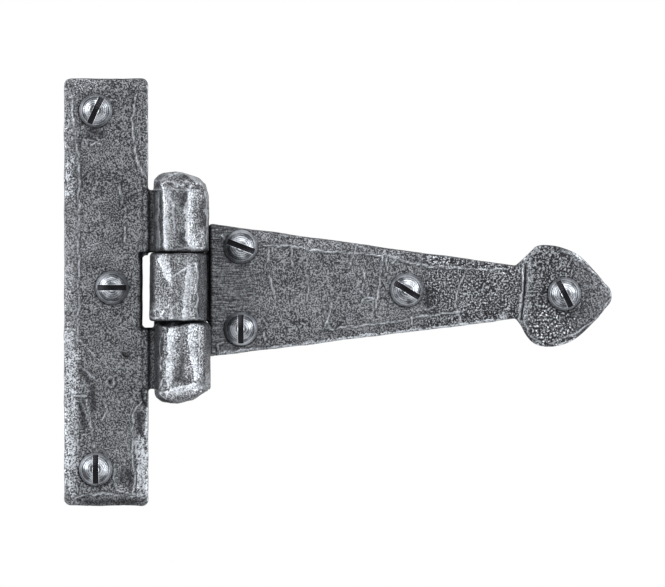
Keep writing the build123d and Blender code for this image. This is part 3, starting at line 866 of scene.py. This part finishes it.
def screw_tree():
    tree, given = new_tree(
        "slotted wood screw",
        [
            ("Head Radius", "Float", 3.95),
            ("Head Height", "Float", head_height),
            ("Slot Width", "Float", slot_width),
            ("Slot Depth", "Float", slot_depth),
            ("Shank Radius", "Float", 2.09),
            ("Core Radius", "Float", 1.5),
            ("Thread Height", "Float", 0.5),
            ("Thread Pitch", "Float", 1.7),
            ("Plain Length", "Float", 8.6),
            ("Point Length", "Float", 4.0),
            ("Length", "Float", 25.4),
            ("Steel", "Material", None),
        ],
    )
    place = add_node(tree, "GeometryNodeInputPosition").outputs[0]

    # Head: a ball that is flat below, with the slot cut across its top
    inputs = {"Segments": 64, "Rings": 40, "Radius": 1.0}
    ball = add_node(tree, "GeometryNodeMeshUVSphere", inputs).outputs[0]
    wide, tall = given["Head Radius"], given["Head Height"]
    dome = vector_maths(tree, "MULTIPLY", place, combined(tree, wide, wide, tall))
    dome = vector_maths(tree, "MAXIMUM", dome, (-100.0, -100.0, 0.0))
    inputs = {"Geometry": ball, "Position": dome}
    head = add_node(tree, "GeometryNodeSetPosition", inputs).outputs[0]
    twice = maths(tree, "MULTIPLY", given["Slot Depth"], 2.0)
    size = combined(tree, 12.0, given["Slot Width"], twice)
    cutter = add_node(tree, "GeometryNodeMeshCube", {"Size": size}).outputs[0]
    inputs = {"Geometry": cutter, "Translation": combined(tree, 0.0, 0.0, tall)}
    cutter = add_node(tree, "GeometryNodeTransform", inputs).outputs[0]
    slotted = add_node(
        tree,
        "GeometryNodeMeshBoolean",
        {"Mesh 1": head, "Mesh 2": cutter},
        operation="DIFFERENCE",
        solver="EXACT",
    ).outputs[0]

    # Shank: plain below the head, then with a thread that climbs as it turns, and
    # drawn in to the point
    shank = add_node(
        tree,
        "GeometryNodeMeshCylinder",
        {
            "Vertices": 40,
            "Side Segments": 190,
            "Fill Segments": 1,
            "Radius": 1.0,
            "Depth": given["Length"],
        },
        fill_type="TRIANGLE_FAN",
    ).outputs["Mesh"]
    at = axes_of(tree, place)
    half = maths(tree, "MULTIPLY", given["Length"], 0.5)
    below = maths(tree, "SUBTRACT", half, at[2])
    turn = maths(tree, "ARCTAN2", at[1], at[0])
    turn = maths(tree, "DIVIDE", turn, 2 * math.pi)
    climb = maths(tree, "DIVIDE", below, given["Thread Pitch"])
    climb = maths(tree, "FRACT", maths(tree, "ADD", climb, turn))
    crest = maths(tree, "ABSOLUTE", maths(tree, "SUBTRACT", climb, 0.5))
    crest = ramp_between(tree, crest, 0.03, 0.3, 1.0, 0.0)
    plain_end = given["Plain Length"]
    thread_full = maths(tree, "ADD", plain_end, 1.6)
    threaded = ramp_between(tree, below, plain_end, thread_full)
    thread = maths(tree, "MULTIPLY", crest, given["Thread Height"])
    thread = maths(tree, "MULTIPLY", thread, threaded)
    core = ramp_between(
        tree,
        below,
        maths(tree, "SUBTRACT", plain_end, 0.3),
        maths(tree, "ADD", plain_end, 0.3),
        given["Shank Radius"],
        given["Core Radius"],
    )
    left = maths(tree, "SUBTRACT", given["Length"], below)
    point = maths(tree, "DIVIDE", left, given["Point Length"], clamp=True)
    radius = maths(tree, "MULTIPLY", maths(tree, "ADD", core, thread), point)
    flat = vector_maths(tree, "MULTIPLY", place, (1.0, 1.0, 0.0))
    away = vector_maths(tree, "LENGTH", flat)
    at_rim = ramp_between(tree, away, 0.4, 0.6)
    radius = maths(tree, "MULTIPLY", radius, at_rim)
    around = vector_maths(tree, "NORMALIZE", flat)
    reach = vector_maths(tree, "SCALE", around, radius)
    down = combined(tree, 0.0, 0.0, maths(tree, "MULTIPLY", below, -1.0))
    inputs = {"Geometry": shank, "Position": vector_maths(tree, "ADD", reach, down)}
    shank = add_node(tree, "GeometryNodeSetPosition", inputs).outputs[0]

    # turned keeps each point's place on the lathe, and each screw's slot is turned
    # by its point's slot_turn
    whole = tree.nodes.new("GeometryNodeJoinGeometry")
    tree.links.new(shank, whole.inputs[0])
    tree.links.new(slotted, whole.inputs[0])
    kept = store(tree, whole.outputs[0], "turned", place, "FLOAT_VECTOR")
    smooth = add_node(tree, "GeometryNodeSetShadeSmooth", {"Geometry": kept})
    kind = "GeometryNodeInputNamedAttribute"
    driven = add_node(tree, kind, {"Name": "slot_turn"}, data_type="FLOAT")
    driven = maths(tree, "MULTIPLY", driven.outputs["Attribute"], -1.0)
    facing = combined(tree, math.pi / 2, driven, 0.0)
    facing = add_node(tree, "FunctionNodeEulerToRotation", {0: facing}).outputs[0]
    placed = add_node(
        tree,
        "GeometryNodeInstanceOnPoints",
        {
            "Points": given["Geometry"],
            "Instance": smooth.outputs[0],
            "Rotation": facing,
            "Scale": (mm, mm, mm),
        },
    ).outputs[0]
    hand_out(tree, placed, given["Steel"])
    return tree


# Bright turned steel: fine rings left by the lathe, a mark round the centre, painted
# highlights on the rim, the crown and the lips along the slot, and a slot painted
# near black as shade. Patches make the heads differ.
def turned_steel():
    steel, tree, shader = new_material("turned screw steel")
    lathe = add_node(tree, "ShaderNodeAttribute", attribute_name="turned")
    lathe = lathe.outputs["Vector"]
    at = axes_of(tree, lathe)
    flat = vector_maths(tree, "MULTIPLY", lathe, (1.0, 1.0, 0.0))
    radius = vector_maths(tree, "LENGTH", flat)
    place = add_node(tree, "ShaderNodeTexCoord").outputs["Object"]
    spot = vector_maths(tree, "SCALE", place, 1000.0)

    def noise(where, scale, detail):
        inputs = {"Vector": where, "Scale": scale, "Detail": detail}
        return add_node(tree, "ShaderNodeTexNoise", inputs).outputs["Fac"]

    rings = maths(tree, "MULTIPLY", radius, 13.0)
    rings = maths(tree, "MULTIPLY_ADD", noise(lathe, 1.1, 2.0), 3.0, rings)
    rings = maths(tree, "SINE", rings)
    steps = maths(tree, "SINE", maths(tree, "MULTIPLY", radius, 4.8))
    from_mark = maths(tree, "ABSOLUTE", maths(tree, "SUBTRACT", radius, 1.0))
    centre_mark = ramp_between(tree, from_mark, 0.08, 0.26, -0.5, 0.0)
    on_dome = ramp_between(tree, at[2], 0.5, 1.0)
    slot_side = slot_width / 2
    slot_floor = head_height - slot_depth
    beside = maths(tree, "ABSOLUTE", at[1])
    # Painted highlights: on the lips along the slot, on the rim and at the crown
    lip = ramp_between(tree, beside, slot_side + 0.05, slot_side + 0.27, 0.4, 0.0)
    over_floor = ramp_between(tree, at[2], slot_floor, slot_floor + 0.2)
    rim = ramp_between(tree, radius, 2.9, 3.6, 0.0, 0.36)
    crown = ramp_between(tree, radius, 1.1, 3.2, 0.14, -0.04)
    patches = ramp_between(tree, noise(spot, 0.36, 1.0), 0.36, 0.62, -0.24, 0.14)
    tone = noise(lathe, 4.5, 2.0)
    for pattern, share in (
        (rings, 0.12),
        (steps, -0.06),
        (centre_mark, on_dome),
        (lip, over_floor),
        (rim, 1.0),
        (crown, 1.0),
        (patches, 1.0),
    ):
        tone = maths(tree, "MULTIPLY_ADD", pattern, share, tone)
    stops = [(0.3, (0.045, 0.048, 0.054)), (0.85, (0.36, 0.38, 0.41))]
    colour = colour_ramp(tree, tone, stops)
    # Painted shade: the slot is near black
    in_slot = ramp_between(tree, beside, slot_side + 0.005, slot_side + 0.03, 1.0, 0.0)
    on_head = ramp_between(tree, at[2], slot_floor - 0.12, slot_floor - 0.04)
    grime = maths(tree, "MULTIPLY", in_slot, on_head)
    inputs = {"Strength": 0.25, "Distance": 0.00006, "Height": rings}
    surface = {
        "Base Color": mix_colours(tree, grime, colour, (0.014, 0.014, 0.016, 1.0)),
        "Metallic": ramp_between(tree, grime, 0.0, 1.0, 0.9, 1.0),
        "Roughness": 0.36,
        "Normal": add_node(tree, "ShaderNodeBump", inputs).outputs[0],
    }
    set_sockets(tree, shader, surface)
    return steel


# turns gives the angle, in degrees, at which each screw's slot was left, and fronts
# how far the face under its head lies in front of the back plane, in mm
def drive_screws(name, turns, fronts, body):
    places = []
    for node in turns:
        low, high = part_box(node)
        middle = (low + high) / 2
        places.append((middle.x, -fronts[node] * mm, middle.z))
    mesh = bpy.data.meshes.new(name + "_places")
    mesh.from_pydata(places, [], [])
    turned = mesh.attributes.new("slot_turn", "FLOAT", "POINT")
    turned.data.foreach_set("value", [math.radians(t) for t in turns.values()])
    points = add_object(name + "_places", mesh)
    cut = points.modifiers.new("screws", "NODES")
    cut.node_group = wood_screw
    set_inputs(cut, {"Steel": screw_steel})
    done = finished_mesh(points)
    bpy.data.objects.remove(points)
    made = add_object(name, done)
    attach(made, body)
    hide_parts(*turns)


wood_screw = screw_tree()
screw_steel = turned_steel()
leaf_front = 3.2
head_front = 2.6
plate_turns = {
    "plate_screw_top": 65,
    "plate_screw_middle": 0,
    "plate_screw_bottom": 90,
}
strap_turns = {
    "strap_screw_upper": -21,
    "strap_screw_lower": 90,
    "strap_screw_middle": -31.5,
    "strap_screw_tip": -63.5,
}
screw_fronts = dict.fromkeys([*plate_turns, *strap_turns], leaf_front)
screw_fronts["strap_screw_tip"] = head_front
drive_screws("plate_screws", plate_turns, screw_fronts, "tee_plate")
drive_screws("strap_screws", strap_turns, screw_fronts, "strap")


# Floor: a plain pale table top, so far below the hinge that it can't be seen from
# the front. It isn't part of the object.
floor_drop = 0.12
floor_half = 0.9
floor_corners = [(-1, -1), (1, -1), (1, 1), (-1, 1)]
floor_points = [(x * floor_half, y * floor_half, -floor_drop) for x, y in floor_corners]
floor_mesh = bpy.data.meshes.new("floor")
floor_mesh.from_pydata(floor_points, [], [(0, 1, 2, 3)])
floor = add_object("floor", floor_mesh)
floor_paint, paint_tree, floor_shader = new_material("pale floor")
floor_surface = {"Base Color": (0.86, 0.86, 0.86, 1.0), "Roughness": 0.8}
set_sockets(paint_tree, floor_shader, floor_surface)
floor_mesh.materials.append(floor_paint)


# Light: a tall soft box at each side and a wide one high in front, in a dim room
# that the camera and the metal see as white.
def soft_box(name, place, aim, size, watts):
    lamp = bpy.data.lights.new(name, "AREA")
    lamp.shape = "RECTANGLE"
    lamp.size, lamp.size_y = size
    lamp.energy = watts
    made = add_object(name, lamp)
    made.location = place
    direction = Vector(aim) - Vector(place)
    made.rotation_euler = direction.to_track_quat("-Z", "Y").to_euler()


hinge_middle = (0.03, 0.0, 0.0)
tall_box = (0.12, 0.5)
soft_box("left box", (-0.45, -0.28, 0.18), hinge_middle, tall_box, 3.0)
soft_box("right box", (0.5, -0.3, 0.12), hinge_middle, tall_box, 3.0)
soft_box("front box", (0.1, -0.6, 0.5), hinge_middle, (0.35, 0.2), 3.5)

dim, full = 0.35, 1.0
world = bpy.data.worlds.new("white room")
scene.world = world
world.use_nodes = True
room = world.node_tree
rays = room.nodes.new("ShaderNodeLightPath").outputs
seen = [rays["Is " + kind + " Ray"] for kind in ("Camera", "Glossy", "Transmission")]
strength = ramp_between(room, highest(room, *seen), 0.0, 1.0, dim, full)
backdrop = {"Color": (1.0, 1.0, 1.0, 1.0), "Strength": strength}
set_sockets(room, room.nodes["Background"], backdrop)


# Camera: a long lens square to the leaves' faces, as in the photograph. The lens
# takes in frame_width, in metres, at the hinge's distance.
frame_width = 0.1565
frame_centre = (0.0358, -0.00035)
distance = 2.0
lens = bpy.data.cameras.new("camera")
lens.sensor_width = 36.0
lens.lens = lens.sensor_width * distance / frame_width
lens.clip_start = 0.1
camera = add_object("camera", lens)
camera.location = (frame_centre[0], -distance - leaf_front * mm, frame_centre[1])
camera.rotation_euler = (math.pi / 2, 0.0, 0.0)
scene.camera = camera
scene.view_settings.view_transform = "Standard"
